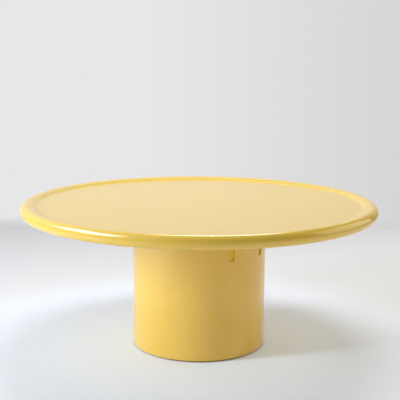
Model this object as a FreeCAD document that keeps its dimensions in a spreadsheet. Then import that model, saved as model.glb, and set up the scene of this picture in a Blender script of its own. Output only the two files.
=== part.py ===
import FreeCAD, Part
import math
import os
import Sketcher

# Round cocktail table: a lacquered disc top with a bullnose rim, on a drum pedestal.
# Everything is drawn with X along the two bearers, then turned about the vertical axis.

# Driving dimensions: millimetres, degrees and counts
DRIVING = (
    ("table_dia", 1000, "outside of the rim"),
    ("table_height", 415, "floor to crest of the rim"),
    ("bearer_turn", 45, "bearers from the X axis, clockwise from above, degrees"),
    ("rim_thick", 35, "underside to crest"),
    ("rim_width", 47, "outside edge to foot of the inner slope"),
    ("rim_ledge", 8, "flat strip inside the slope, level with the field"),
    ("rim_pieces", 8, "segments round the rim"),
    ("recess_depth", 8, "crest to field"),
    ("panel_thick", 18, "field panel"),
    ("tongue_thick", 6, "tongue on the edge of the field panel"),
    ("tongue_reach", 10, "tongue beyond the edge of the field panel"),
    ("spline_long", 24, "loose spline, across the joint"),
    ("spline_wide", 20, "loose spline, along the joint"),
    ("spline_thick", 4, "loose spline"),
    ("spline_edge", 8, "bottom of the rim's groove to a spline"),
    ("glue_gap", 0.2, "between glued curved faces and round loose fits"),
    ("drum_dia", 380, "outside of the drum"),
    ("drum_wall", 18, "bent shell"),
    ("drum_lift", 3, "floor to lower edge of the drum"),
    ("drum_edge_round", 4, "outer lower edge of the drum"),
    ("bearer_pitch", 114, "centre to centre of the two bearers"),
    ("bearer_thick", 18, "bearer"),
    ("bearer_depth", 105, "underside of the top to lower edge of a bearer"),
    ("bearer_recess", 4, "end of a bearer behind the face of the drum"),
    ("notch_over", 5, "how far the notch cutter passes the drum's top edge"),
    ("former_thick", 18, "upper former"),
    ("former_width", 52, "upper former, outside to inside"),
    ("base_thick", 25, "base disc"),
    ("batten_wide", 44, "seam batten"),
    ("batten_thick", 16, "seam batten"),
    ("ballast_thick", 20, "ballast plate"),
    ("ballast_inset", 25, "leveller axis to edge of the ballast plate"),
    ("ballast_chamfer", 2, "edge of the ballast plate"),
    ("ballast_screw_inset", 30, "edge of the ballast plate to its screws"),
    ("ballast_screws", 4, "screws through the ballast plate"),
    ("ballast_screw_bite", 18, "length of a ballast screw in the base disc"),
    ("ballast_screw_dia", 8, "shank"),
    ("ballast_head_dia", 15, "head"),
    ("ballast_head_high", 5, "head"),
    ("block_wide", 70, "spreader block along the bearers"),
    ("block_thick", 36, "spreader block"),
    ("block_drop", 30, "underside of the top to top of the spreader block"),
    ("block_screw_pitch", 40, "two screws at each end of the block"),
    ("block_screw_long", 60, "under the head"),
    ("block_screw_dia", 6, "shank"),
    ("block_head_dia", 12, "head"),
    ("block_head_high", 3.5, "head"),
    ("rod_dia", 10, "tie rod"),
    ("rod_tail", 3, "tie rod past its upper nut"),
    ("rod_foot", 1, "tie rod past its lower nut"),
    ("rod_play", 1, "hole round the tie rod, on the diameter"),
    ("nut_wide", 16, "across the flats"),
    ("nut_high", 8, "tie rod nut"),
    ("washer_dia", 40, "tie rod washer"),
    ("washer_thick", 2.5, "tie rod washer"),
    ("cleat_leg", 40, "angle cleat, each leg"),
    ("cleat_long", 40, "angle cleat, along the bearer"),
    ("cleat_thick", 3, "angle cleat"),
    ("cleat_bend", 3, "inside radius of the bend"),
    ("cleat_wall_gap", 10, "corner of a cleat to inside of the drum"),
    ("cleat_hole_pitch", 22, "two holes in each leg"),
    ("cleat_hole_edge", 16, "hole to free edge of the leg"),
    ("cleat_hole_play", 0.5, "hole round a cleat screw, on the diameter"),
    ("cleat_screw_dia", 5, "shank"),
    ("cleat_head_dia", 9, "head"),
    ("cleat_head_high", 2.5, "head"),
    ("side_screw_bite", 14, "cleat screw in the bearer"),
    ("top_screw_bite", 20, "cleat screw in the top"),
    ("pilot_play", 0.1, "drilled hole round a screw, on the diameter"),
    ("pilot_over", 1, "drilled hole past the tip of a screw"),
    ("foot_count", 4, "levelling feet"),
    ("foot_turn", 45, "first foot from the bearers' direction, degrees"),
    ("foot_inset", 27, "inside of the drum to axis of a foot"),
    ("pad_dia", 40, "pad on the floor"),
    ("pad_neck_dia", 25, "top of the pad"),
    ("pad_high", 8, "pad"),
    ("pad_rim_high", 3, "straight side of the pad"),
    ("pad_edge", 0.8, "bevel of the pad's lower edge"),
    ("spigot_dia", 8, "lower end of the stem, in the pad"),
    ("spigot_long", 4.8, "lower end of the stem, in the pad"),
    ("spigot_end_gap", 0.2, "under the spigot"),
    ("stem_dia", 10, "threaded stem"),
    ("stem_long", 35, "threaded stem above its hexagon"),
    ("stem_chamfer", 1, "end of the stem"),
    ("running_fit", 0.1, "turning fits, on the diameter"),
    ("hex_wide", 17, "across the flats"),
    ("hex_high", 5, "hexagon of the stem"),
    ("insert_flange_dia", 26, "flange under the base disc"),
    ("insert_flange_thick", 2, "flange under the base disc"),
    ("insert_dia", 14, "barrel in the base disc"),
    ("insert_long", 20, "barrel in the base disc"),
)

# Sizes and places that follow from them
DERIVED = (
    ("table_r", "table_dia / 2"),
    ("under_z", "table_height - rim_thick"),
    ("field_z", "table_height - recess_depth"),
    ("panel_under_z", "field_z - panel_thick"),
    ("backing_thick", "panel_under_z - under_z"),
    ("crest_r", "table_r - rim_thick / 2"),
    ("slope_r", "table_r - rim_width"),
    ("slope_mid_r", "(crest_r + slope_r) / 2"),
    ("slope_mid_z", "(table_height + field_z) / 2"),
    ("rim_inner_r", "slope_r - rim_ledge"),
    ("panel_r", "rim_inner_r - glue_gap"),
    ("tongue_r", "panel_r + tongue_reach"),
    ("tongue_top_z", "(field_z + panel_under_z + tongue_thick) / 2"),
    ("tongue_low_z", "tongue_top_z - tongue_thick"),
    ("groove_r", "tongue_r + glue_gap"),
    ("groove_top_z", "tongue_top_z + glue_gap"),
    ("groove_low_z", "tongue_low_z - glue_gap"),
    ("segment_angle", "360 / rim_pieces"),
    ("spline_r", "groove_r + spline_edge + spline_wide / 2"),
    ("spline_z", "under_z + rim_thick / 2"),
    ("spline_slot_long", "spline_long + 2 * glue_gap"),
    ("spline_slot_wide", "spline_wide + 2 * glue_gap"),
    ("spline_slot_thick", "spline_thick + 2 * glue_gap"),
    ("drum_r", "drum_dia / 2"),
    ("drum_inner_r", "drum_r - drum_wall"),
    ("drum_round_r", "drum_r - drum_edge_round"),
    ("drum_round_z", "drum_lift + drum_edge_round"),
    ("inside_r", "drum_inner_r - glue_gap"),
    ("bearer_y", "bearer_pitch / 2"),
    ("bearer_in_y", "bearer_y - bearer_thick / 2"),
    ("bearer_out_y", "bearer_y + bearer_thick / 2"),
    ("bearer_low_z", "under_z - bearer_depth"),
    ("bearer_round_z", "bearer_low_z + bearer_thick / 2"),
    ("bearer_end_r", "drum_r - bearer_recess"),
    ("notch_in_y", "bearer_in_y - glue_gap"),
    ("notch_out_y", "bearer_out_y + glue_gap"),
    ("notch_top_z", "under_z + notch_over"),
    ("former_low_z", "bearer_low_z - former_thick"),
    ("former_inner_r", "inside_r - former_width"),
    ("base_z", "pad_high + hex_high + insert_flange_thick"),
    ("base_top_z", "base_z + base_thick"),
    ("batten_high", "former_low_z - base_top_z"),
    ("foot_r", "drum_inner_r - foot_inset"),
    ("foot_x", "foot_r * cos(foot_turn)"),
    ("foot_y", "foot_r * sin(foot_turn)"),
    ("ballast_r", "foot_r - ballast_inset"),
    ("ballast_top_z", "base_top_z + ballast_thick"),
    ("ballast_edge_r", "ballast_r - ballast_chamfer"),
    ("ballast_edge_z", "ballast_top_z - ballast_chamfer"),
    ("ballast_screw_r", "ballast_r - ballast_screw_inset"),
    ("ballast_screw_long", "ballast_thick + ballast_screw_bite"),
    ("ballast_pilot_dia", "ballast_screw_dia + pilot_play"),
    ("ballast_pilot_deep", "ballast_screw_bite + pilot_over"),
    ("block_long", "bearer_pitch - bearer_thick"),
    ("block_x", "block_wide / 2"),
    ("block_y", "block_long / 2"),
    ("block_top_z", "under_z - block_drop"),
    ("block_low_z", "block_top_z - block_thick"),
    ("block_mid_z", "block_top_z - block_thick / 2"),
    ("block_screw_x", "block_screw_pitch / 2"),
    ("block_pilot_dia", "block_screw_dia + pilot_play"),
    ("block_pilot_deep", "block_screw_long - bearer_thick + pilot_over"),
    ("rod_r", "rod_dia / 2"),
    ("rod_hole_dia", "rod_dia + rod_play"),
    ("rod_hole_r", "rod_hole_dia / 2"),
    ("rod_low_z", "base_z - washer_thick - nut_high - rod_foot"),
    ("rod_top_z", "block_top_z + washer_thick + nut_high + rod_tail"),
    ("nut_bore_r", "(rod_dia + running_fit) / 2"),
    ("nut_corner_r", "nut_wide / sqrt(3)"),
    ("nut_upper_z", "block_top_z + washer_thick"),
    ("nut_lock_z", "block_low_z - washer_thick - nut_high"),
    ("nut_lower_z", "base_z - washer_thick - nut_high"),
    ("washer_r", "washer_dia / 2"),
    ("washer_lock_z", "block_low_z - washer_thick"),
    ("washer_lower_z", "base_z - washer_thick"),
    ("cleat_out_y", "bearer_out_y + cleat_leg"),
    ("cleat_x", "sqrt(drum_inner_r^2 - cleat_out_y^2) - cleat_wall_gap - cleat_long / 2"),
    ("cleat_low_z", "under_z - cleat_leg"),
    ("cleat_inner_y", "bearer_out_y + cleat_thick"),
    ("cleat_inner_z", "under_z - cleat_thick"),
    ("cleat_bend_y", "cleat_inner_y + cleat_bend"),
    ("cleat_bend_z", "cleat_inner_z - cleat_bend"),
    ("cleat_near_x", "cleat_x - cleat_hole_pitch / 2"),
    ("cleat_far_x", "cleat_x + cleat_hole_pitch / 2"),
    ("cleat_hole_x", "cleat_hole_pitch / 2"),
    ("side_screw_z", "cleat_low_z + cleat_hole_edge"),
    ("top_screw_y", "cleat_out_y - cleat_hole_edge"),
    ("cleat_hole_dia", "cleat_screw_dia + cleat_hole_play"),
    ("cleat_pilot_dia", "cleat_screw_dia + pilot_play"),
    ("side_screw_long", "side_screw_bite + cleat_thick"),
    ("side_pilot_deep", "side_screw_bite + pilot_over"),
    ("top_screw_long", "top_screw_bite + cleat_thick"),
    ("top_pilot_deep", "top_screw_bite + pilot_over - backing_thick"),
    ("pad_r", "pad_dia / 2"),
    ("pad_base_r", "pad_r - pad_edge"),
    ("pad_neck_r", "pad_neck_dia / 2"),
    ("spigot_r", "spigot_dia / 2"),
    ("spigot_bore_r", "(spigot_dia + running_fit) / 2"),
    ("spigot_low_z", "pad_high - spigot_long"),
    ("spigot_bore_z", "spigot_low_z - spigot_end_gap"),
    ("stem_r", "stem_dia / 2"),
    ("stem_end_r", "stem_r - stem_chamfer"),
    ("hex_corner_r", "hex_wide / sqrt(3)"),
    ("hex_top_z", "pad_high + hex_high"),
    ("stem_top_z", "hex_top_z + stem_long"),
    ("stem_shoulder_z", "stem_top_z - stem_chamfer"),
    ("insert_bore_r", "(stem_dia + running_fit) / 2"),
    ("insert_flange_r", "insert_flange_dia / 2"),
    ("insert_r", "insert_dia / 2"),
    ("insert_top_z", "base_z + insert_long"),
    ("insert_hole_dia", "insert_dia + 2 * glue_gap"),
)

doc = FreeCAD.newDocument("RoundCocktailTable")
sheet = doc.addObject("Spreadsheet::Sheet", "Sizes")
for row, (alias, number, note) in enumerate(DRIVING, 1):
    sheet.set(f"A{row}", alias)
    sheet.set(f"B{row}", str(number))
    sheet.set(f"C{row}", note)
    sheet.setAlias(f"B{row}", alias)
for row, (alias, formula) in enumerate(DERIVED, len(DRIVING) + 1):
    sheet.set(f"A{row}", alias)
    sheet.set(f"B{row}", "=" + formula)
    sheet.setAlias(f"B{row}", alias)
doc.recompute()

UP = FreeCAD.Vector(0, 0, 1)
nodes = []


def size(name):
    """Number behind a size's name; a leading minus turns its sign."""
    if name == "0":
        return 0.0
    if name.startswith("-"):
        return -size(name[1:])
    return float(sheet.get(name))


def bind(thing, prop, name):
    thing.setExpression(prop, "Sizes." + name)


def named(thing, label):
    """Make a document object one of the table's pieces."""
    thing.Label = label
    nodes.append(thing)
    return thing


def new_body(name):
    return doc.addObject("PartDesign::Body", name)


def new_sketch(body, role, height=None, side=1):
    """Sketch on one of the body's origin planes, moved off it by a named height."""
    sketch = body.newObject("Sketcher::SketchObject", body.Name + "Sketch")
    plane = next(f for f in body.Origin.OriginFeatures if f.Role == role)
    sketch.AttachmentSupport = (plane, [""])
    sketch.MapMode = "FlatFace"
    if height:
        sign = "-" if side < 0 else ""
        sketch.setExpression("AttachmentOffset.Base.z", sign + "Sizes." + height)
    return sketch


def fix(sketch, kind, point, name):
    """Hold one coordinate of a sketch point at a named size from the sketch's origin."""
    if name == "0":
        axis = -2 if kind == "DistanceX" else -1
        sketch.addConstraint(Sketcher.Constraint("PointOnObject", *point, axis))
        return
    ends = (*point, -1, 1) if name.startswith("-") else (-1, 1, *point)
    index = sketch.addConstraint(Sketcher.Constraint(kind, *ends, abs(size(name))))
    sketch.setExpression(f"Constraints[{index}]", "Sizes." + name.lstrip("-"))


def fix_point(sketch, point, across, up):
    fix(sketch, "DistanceX", point, across)
    fix(sketch, "DistanceY", point, up)


def outline(sketch, *corners):
    """Closed outline. A corner is (across, up), reached by a line, or
    (across, up, centre_across, turn), reached by an arc that turns "left" or "right".
    An arc between two corners of one height is a half circle."""
    spots = [FreeCAD.Vector(size(c[0]), size(c[1]), 0) for c in corners]
    edges = []
    for i, corner in enumerate(corners):
        a, b = spots[i - 1], spots[i]
        if len(corner) == 2:
            edges.append((sketch.addGeometry(Part.LineSegment(a, b)), 1, 2))
            continue
        cx = size(corner[2])
        cy = a.y
        if corner[1] != corners[i - 1][1]:
            cy = ((a.x - cx) ** 2 - (b.x - cx) ** 2 + a.y ** 2 - b.y ** 2) / (2 * (a.y - b.y))
        centre = FreeCAD.Vector(cx, cy, 0)
        circle = Part.Circle(centre, UP, (a - centre).Length)
        first, last = (a, b) if corner[3] == "left" else (b, a)
        start, end = (math.atan2(p.y - cy, p.x - cx) for p in (first, last))
        arc = sketch.addGeometry(Part.ArcOfCircle(circle, start, end))
        edges.append((arc, 1, 2) if corner[3] == "left" else (arc, 2, 1))
    for i, (edge, tail, head) in enumerate(edges):
        following = edges[(i + 1) % len(edges)]
        sketch.addConstraint(Sketcher.Constraint("Coincident", edge, head, following[0], following[1]))
        fix_point(sketch, (edge, head), *corners[i][:2])
        if len(corners[i]) == 2:
            continue
        if corners[i][1] == corners[i - 1][1]:
            fix(sketch, "DistanceY", (edge, 3), corners[i][1])
        else:
            fix(sketch, "DistanceX", (edge, 3), corners[i][2])


def circles(sketch, diameter, centres):
    for across, up in centres:
        spot = FreeCAD.Vector(size(across), size(up), 0)
        ring = sketch.addGeometry(Part.Circle(spot, UP, size(diameter) / 2))
        fix_point(sketch, (ring, 3), across, up)
        index = sketch.addConstraint(Sketcher.Constraint("Diameter", ring, size(diameter)))
        bind(sketch, f"Constraints[{index}]", diameter)


def turned(body, *corners, angle=None):
    """Solid of revolution about the vertical axis from a half section."""
    sketch = new_sketch(body, "XZ_Plane")
    outline(sketch, *corners)
    solid = body.newObject("PartDesign::Revolution", body.Name + "Turned")
    solid.Profile = sketch
    solid.ReferenceAxis = (sketch, ["V_Axis"])
    solid.Midplane = True
    solid.Angle = 360
    if angle:
        solid.setExpression("Angle", angle)
    doc.recompute()
    return solid


def cut(body, sketch, depth=None, reverse=False):
    """Pocket to a named depth, or right through to both sides."""
    before = body.Shape.Volume
    pocket = body.newObject("PartDesign::Pocket", body.Name + "Cut")
    pocket.Profile = sketch
    if depth:
        bind(pocket, "Length", depth)
        pocket.Reversed = reverse
    else:
        pocket.Type = "ThroughAll"
        pocket.SideType = "Symmetric"
    doc.recompute()
    if not body.Shape.Volume < before:
        raise RuntimeError(f"{pocket.Name} cuts nothing")
    return pocket


def cylinder(name, radius, low, high):
    """Round bar between two named heights."""
    bar = doc.addObject("Part::Cylinder", name)
    bind(bar, "Radius", radius)
    bar.setExpression("Height", f"Sizes.{high} - Sizes.{low}")
    bind(bar, "Placement.Base.z", low)
    return bar


def disc(name, radius, thickness):
    """Round disc on the ground plane."""
    plate = doc.addObject("Part::Cylinder", name)
    bind(plate, "Radius", radius)
    bind(plate, "Height", thickness)
    return plate


def boolean(kind, base, tool):
    """Part::Cut or Part::Common of two objects."""
    result = doc.addObject("Part::" + kind, base.Name + kind)
    result.Base = base
    result.Tool = tool
    return result


def group(label, master, places):
    """Alike pieces in one node: links to one master, each at its own place."""
    links = []
    for place in places:
        link = doc.addObject("App::Link", label + "Link")
        link.LinkedObject = master
        link.LinkTransform = True
        link.Placement = place
        links.append(link)
    alike = doc.addObject("Part::Compound", label)
    alike.Links = links
    return named(alike, label)


def at(across, along, height, tilt=0):
    """Place at three named sizes, tipped about X by an angle in degrees."""
    spot = FreeCAD.Vector(size(across), size(along), size(height))
    return FreeCAD.Placement(spot, FreeCAD.Rotation(FreeCAD.Vector(1, 0, 0), tilt))


def swung(angle, place=FreeCAD.Placement()):
    """A place carried round the vertical axis by an angle in degrees."""
    return FreeCAD.Placement(FreeCAD.Vector(), FreeCAD.Rotation(UP, angle)).multiply(place)


def round_pattern(body, pocket, count):
    """Repeat a cut round the vertical axis, a named number of times."""
    before = body.Shape.Volume
    ring = body.newObject("PartDesign::PolarPattern", body.Name + "Ring")
    ring.Originals = [pocket]
    ring.Axis = (pocket.Profile[0], ["N_Axis"])
    ring.Angle = 360
    bind(ring, "Occurrences", count)
    body.Tip = ring
    doc.recompute()
    if not body.Shape.Volume < before:
        raise RuntimeError(f"{ring.Name} repeats nothing")


def mirrored(*names):
    """Spots at plus and minus each pair of named sizes, both ways."""
    return [(i + x, j + y) for i in ("", "-") for j in ("", "-") for x, y in names]


def screw(name, shank, length, head, head_high):
    """Screw with its head below the seat and its shank standing up from it."""
    body = new_body(name)
    sketch = new_sketch(body, "XY_Plane")
    circles(sketch, head, [("0", "0")])
    pad = body.newObject("PartDesign::Pad", name + "Head")
    pad.Profile = sketch
    bind(pad, "Length", head_high)
    pad.Reversed = True
    sketch = new_sketch(body, "XY_Plane")
    circles(sketch, shank, [("0", "0")])
    pad = body.newObject("PartDesign::Pad", name + "Shank")
    pad.Profile = sketch
    bind(pad, "Length", length)
    doc.recompute()
    low = -size(head_high) / 2
    rims = [f"Edge{i}" for i, edge in enumerate(body.Shape.Edges, 1) if edge.BoundBox.ZMax < low]
    dome = body.newObject("PartDesign::Chamfer", name + "HeadEdge")
    dome.Base = (pad, rims)
    dome.setExpression("Size", f"Sizes.{head_high} / 2")
    return body


# Field panel: a disc with a tongue round its edge, drilled from below for the cleat screws
panel = named(new_body("TopPanel"), "top_panel")
turned(
    panel,
    ("0", "panel_under_z"),
    ("panel_r", "panel_under_z"),
    ("panel_r", "tongue_low_z"),
    ("tongue_r", "tongue_low_z"),
    ("tongue_r", "tongue_top_z"),
    ("panel_r", "tongue_top_z"),
    ("panel_r", "field_z"),
    ("0", "field_z"),
)
top_screw_spots = mirrored(("cleat_near_x", "top_screw_y"), ("cleat_far_x", "top_screw_y"))
drilling = new_sketch(panel, "XY_Plane", "panel_under_z")
circles(drilling, "cleat_pilot_dia", top_screw_spots)
cut(panel, drilling, "top_pilot_deep", reverse=True)

# Backing panel: fills the underside, flush with the rim
backing = named(new_body("BackingPanel"), "backing_panel")
turned(
    backing,
    ("0", "under_z"),
    ("panel_r", "under_z"),
    ("panel_r", "panel_under_z"),
    ("0", "panel_under_z"),
)
drilling = new_sketch(backing, "XY_Plane", "under_z")
circles(drilling, "cleat_pilot_dia", top_screw_spots)
cut(backing, drilling)

# Rim: bullnose segments, grooved for the panel's tongue, with a spline slot in each end
spline_corner = FreeCAD.Vector(
    size("spline_r") - size("spline_slot_wide") / 2,
    -size("spline_slot_long") / 2,
    size("spline_z") - size("spline_slot_thick") / 2,
)
slot_seat = FreeCAD.Placement(spline_corner, FreeCAD.Rotation())
for number in range(int(size("rim_pieces"))):
    segment = named(new_body("RimSegment"), f"rim_segment_{number + 1}")
    turned(
        segment,
        ("rim_inner_r", "under_z"),
        ("crest_r", "under_z"),
        ("crest_r", "table_height", "crest_r", "left"),
        ("slope_mid_r", "slope_mid_z", "crest_r", "left"),
        ("slope_r", "field_z", "slope_r", "right"),
        ("rim_inner_r", "field_z"),
        ("rim_inner_r", "groove_top_z"),
        ("groove_r", "groove_top_z"),
        ("groove_r", "groove_low_z"),
        ("rim_inner_r", "groove_low_z"),
        angle="Sizes.segment_angle",
    )
    for end in (-0.5, 0.5):
        slot = segment.newObject("PartDesign::SubtractiveBox", "SplineSlot")
        bind(slot, "Length", "spline_slot_wide")
        bind(slot, "Width", "spline_slot_long")
        bind(slot, "Height", "spline_slot_thick")
        slot.Placement = swung(end * size("segment_angle"), slot_seat)
    segment.Placement = swung(number * size("segment_angle"))

# Loose splines across the rim's butt joints
spline = doc.addObject("Part::Box", "Spline")
bind(spline, "Length", "spline_wide")
bind(spline, "Width", "spline_long")
bind(spline, "Height", "spline_thick")
slack = FreeCAD.Vector(1, 1, 1) * size("glue_gap")
spline_seat = FreeCAD.Placement(spline_corner + slack, FreeCAD.Rotation())
joint_angles = [(n + 0.5) * size("segment_angle") for n in range(int(size("rim_pieces")))]
group("rim_splines", spline, [swung(angle, spline_seat) for angle in joint_angles])

# Bearers: boards on edge, lower edge rounded to bed in the drum's notches, ends cut to its curve
block_screw_row = [("block_screw_x", "block_mid_z"), ("-block_screw_x", "block_mid_z")]
bearer_ends = cylinder("BearerEnds", "bearer_end_r", "base_z", "notch_top_z")
for number in (1, 2):
    board = new_body("BearerBoard")
    section = new_sketch(board, "YZ_Plane")
    outline(
        section,
        ("bearer_in_y", "under_z"),
        ("bearer_in_y", "bearer_round_z"),
        ("bearer_out_y", "bearer_round_z", "bearer_y", "left"),
        ("bearer_out_y", "under_z"),
    )
    length = board.newObject("PartDesign::Pad", "BearerLength")
    length.Profile = section
    length.SideType = "Symmetric"
    bind(length, "Length", "drum_dia")
    doc.recompute()
    drilling = new_sketch(board, "XZ_Plane", "bearer_out_y", side=-1)
    for across in ("cleat_near_x", "cleat_far_x"):
        circles(drilling, "cleat_pilot_dia", [(across, "side_screw_z"), ("-" + across, "side_screw_z")])
    cut(board, drilling, "side_pilot_deep", reverse=True)
    drilling = new_sketch(board, "XZ_Plane")
    circles(drilling, "block_pilot_dia", block_screw_row)
    cut(board, drilling)
    bearer = named(boolean("Common", board, bearer_ends), f"bearer_{number}")
    bearer.Placement = swung(180 * (number - 1))

# Spreader block between the bearers, bored for the tie rod and drilled at both ends
block = named(new_body("SpreaderBlock"), "spreader_block")
plan = new_sketch(block, "XY_Plane", "block_low_z")
outline(
    plan,
    ("-block_x", "-block_y"),
    ("block_x", "-block_y"),
    ("block_x", "block_y"),
    ("-block_x", "block_y"),
)
thickness = block.newObject("PartDesign::Pad", "BlockThickness")
thickness.Profile = plan
bind(thickness, "Length", "block_thick")
doc.recompute()
boring = new_sketch(block, "XY_Plane", "block_low_z")
circles(boring, "rod_hole_dia", [("0", "0")])
cut(block, boring)
for side in (-1, 1):
    drilling = new_sketch(block, "XZ_Plane", "block_y", side=side)
    circles(drilling, "block_pilot_dia", block_screw_row)
    cut(block, drilling, "block_pilot_deep", reverse=side < 0)

block_screw = screw(
    "BlockScrew",
    "block_screw_dia",
    "block_screw_long",
    "block_head_dia",
    "block_head_high",
)
block_screw_places = [
    swung(turn, at(x, "bearer_out_y", z, 90))
    for turn in (0, 180)
    for x, z in block_screw_row
]
group("block_screws", block_screw, block_screw_places)

# Angle cleats: bent steel, one leg on a bearer and one under the top
cleat_spots = [(across, turn) for turn in (0, 180) for across in ("cleat_x", "-cleat_x")]
for number, (across, turn) in enumerate(cleat_spots, 1):
    cleat = named(new_body("Cleat"), f"cleat_{number}")
    section = new_sketch(cleat, "YZ_Plane")
    outline(
        section,
        ("bearer_out_y", "cleat_low_z"),
        ("cleat_inner_y", "cleat_low_z"),
        ("cleat_inner_y", "cleat_bend_z"),
        ("cleat_bend_y", "cleat_inner_z", "cleat_bend_y", "right"),
        ("cleat_out_y", "cleat_inner_z"),
        ("cleat_out_y", "under_z"),
        ("cleat_bend_y", "under_z"),
        ("bearer_out_y", "cleat_bend_z", "cleat_bend_y", "left"),
    )
    length = cleat.newObject("PartDesign::Pad", "CleatLength")
    length.Profile = section
    length.SideType = "Symmetric"
    bind(length, "Length", "cleat_long")
    doc.recompute()
    for plane, row in (("XZ_Plane", "side_screw_z"), ("XY_Plane", "top_screw_y")):
        drilling = new_sketch(cleat, plane)
        circles(drilling, "cleat_hole_dia", [("cleat_hole_x", row), ("-cleat_hole_x", row)])
        cut(cleat, drilling)
    cleat.Placement = swung(turn, at(across, "0", "0"))

side_screw = screw(
    "CleatSideScrew",
    "cleat_screw_dia",
    "side_screw_long",
    "cleat_head_dia",
    "cleat_head_high",
)
side_screw_places = [
    swung(turn, at(sign + x, "cleat_inner_y", "side_screw_z", 90))
    for turn in (0, 180)
    for sign in ("", "-")
    for x in ("cleat_near_x", "cleat_far_x")
]
group("cleat_side_screws", side_screw, side_screw_places)
top_screw = screw(
    "CleatTopScrew",
    "cleat_screw_dia",
    "top_screw_long",
    "cleat_head_dia",
    "cleat_head_high",
)
group("cleat_top_screws", top_screw, [at(x, y, "cleat_inner_z") for x, y in top_screw_spots])

# Tie rod with its nuts and washers: clamps the bearers' block down to the base disc
named(cylinder("TieRod", "rod_r", "rod_low_z", "rod_top_z"), "tie_rod")
hexagon = doc.addObject("Part::Prism", "NutHexagon")
hexagon.Polygon = 6
bind(hexagon, "Circumradius", "nut_corner_r")
bind(hexagon, "Height", "nut_high")
nut = boolean("Cut", hexagon, disc("NutBore", "nut_bore_r", "nut_high"))
nut_heights = ("nut_upper_z", "nut_lock_z", "nut_lower_z")
group("tie_rod_nuts", nut, [at("0", "0", z) for z in nut_heights])
washer_disc = disc("WasherDisc", "washer_r", "washer_thick")
washer = boolean("Cut", washer_disc, disc("WasherBore", "rod_hole_r", "washer_thick"))
washer_heights = ("block_top_z", "washer_lock_z", "washer_lower_z")
group("tie_rod_washers", washer, [at("0", "0", z) for z in washer_heights])

# Drum: two alike half shells with a rounded lower edge, notched at the top for the bearers
for number in (1, 2):
    half = named(new_body("DrumHalf"), f"drum_half_{number}")
    turned(
        half,
        ("drum_inner_r", "drum_lift"),
        ("drum_round_r", "drum_lift"),
        ("drum_r", "drum_round_z", "drum_round_r", "left"),
        ("drum_r", "under_z"),
        ("drum_inner_r", "under_z"),
        angle="180",
    )
    notches = new_sketch(half, "YZ_Plane")
    for sign, way in (("", "left"), ("-", "right")):
        outline(
            notches,
            (sign + "notch_in_y", "notch_top_z"),
            (sign + "notch_in_y", "bearer_round_z"),
            (sign + "notch_out_y", "bearer_round_z", sign + "bearer_y", way),
            (sign + "notch_out_y", "notch_top_z"),
        )
    cut(half, notches)
    half.Placement = swung(180 * (number - 1))

# Upper former: ring glued inside the drum, under the bearers
former = named(new_body("UpperFormer"), "upper_former")
turned(
    former,
    ("former_inner_r", "former_low_z"),
    ("inside_r", "former_low_z"),
    ("inside_r", "bearer_low_z"),
    ("former_inner_r", "bearer_low_z"),
)

# Seam battens: strips behind the drum's two seams, backs cut to its curve
drum_inside = cylinder("DrumInside", "inside_r", "base_z", "under_z")
for number in (1, 2):
    strip = doc.addObject("Part::Box", "BattenStrip")
    bind(strip, "Length", "batten_wide")
    bind(strip, "Width", "batten_thick")
    bind(strip, "Height", "batten_high")
    strip.setExpression("Placement.Base.x", "-Sizes.batten_wide / 2")
    strip.setExpression("Placement.Base.y", "Sizes.inside_r - Sizes.batten_thick")
    bind(strip, "Placement.Base.z", "base_top_z")
    batten = named(boolean("Common", strip, drum_inside), f"seam_batten_{number}")
    batten.Placement = swung(180 * (number - 1))

# Base disc: closes the drum, bored for the tie rod, the feet and the ballast's screws
base = named(new_body("BaseDisc"), "base_disc")
turned(base, ("0", "base_z"), ("inside_r", "base_z"), ("inside_r", "base_top_z"), ("0", "base_top_z"))
boring = new_sketch(base, "XY_Plane", "base_z")
circles(boring, "rod_hole_dia", [("0", "0")])
cut(base, boring)
boring = new_sketch(base, "XY_Plane", "base_z")
circles(boring, "insert_hole_dia", [("foot_x", "foot_y")])
round_pattern(base, cut(base, boring), "foot_count")
drilling = new_sketch(base, "XY_Plane", "base_top_z")
circles(drilling, "ballast_pilot_dia", [("ballast_screw_r", "0")])
round_pattern(base, cut(base, drilling, "ballast_pilot_deep"), "ballast_screws")

# Ballast plate: iron disc screwed down on the base disc
ballast = named(new_body("BallastPlate"), "ballast_plate")
turned(
    ballast,
    ("0", "base_top_z"),
    ("ballast_r", "base_top_z"),
    ("ballast_r", "ballast_edge_z"),
    ("ballast_edge_r", "ballast_top_z"),
    ("0", "ballast_top_z"),
)
boring = new_sketch(ballast, "XY_Plane", "base_top_z")
circles(boring, "rod_hole_dia", [("0", "0")])
cut(ballast, boring)
boring = new_sketch(ballast, "XY_Plane", "base_top_z")
circles(boring, "ballast_pilot_dia", [("ballast_screw_r", "0")])
round_pattern(ballast, cut(ballast, boring), "ballast_screws")
ballast_screw = screw(
    "BallastScrew",
    "ballast_screw_dia",
    "ballast_screw_long",
    "ballast_head_dia",
    "ballast_head_high",
)
ballast_screw_seat = at("ballast_screw_r", "0", "ballast_top_z", 180)
ballast_screw_count = int(size("ballast_screws"))
ballast_screw_places = [
    swung(360 * n / ballast_screw_count, ballast_screw_seat)
    for n in range(ballast_screw_count)
]
group("ballast_screws", ballast_screw, ballast_screw_places)

# Threaded inserts: flanged sleeves let into the base disc from below
insert = new_body("Insert")
turned(
    insert,
    ("insert_bore_r", "hex_top_z"),
    ("insert_flange_r", "hex_top_z"),
    ("insert_flange_r", "base_z"),
    ("insert_r", "base_z"),
    ("insert_r", "insert_top_z"),
    ("insert_bore_r", "insert_top_z"),
)
foot_count = int(size("foot_count"))
foot_seat = at("foot_x", "foot_y", "0")
foot_places = [swung(360 * n / foot_count, foot_seat) for n in range(foot_count)]
group("leveller_inserts", insert, foot_places)

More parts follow.
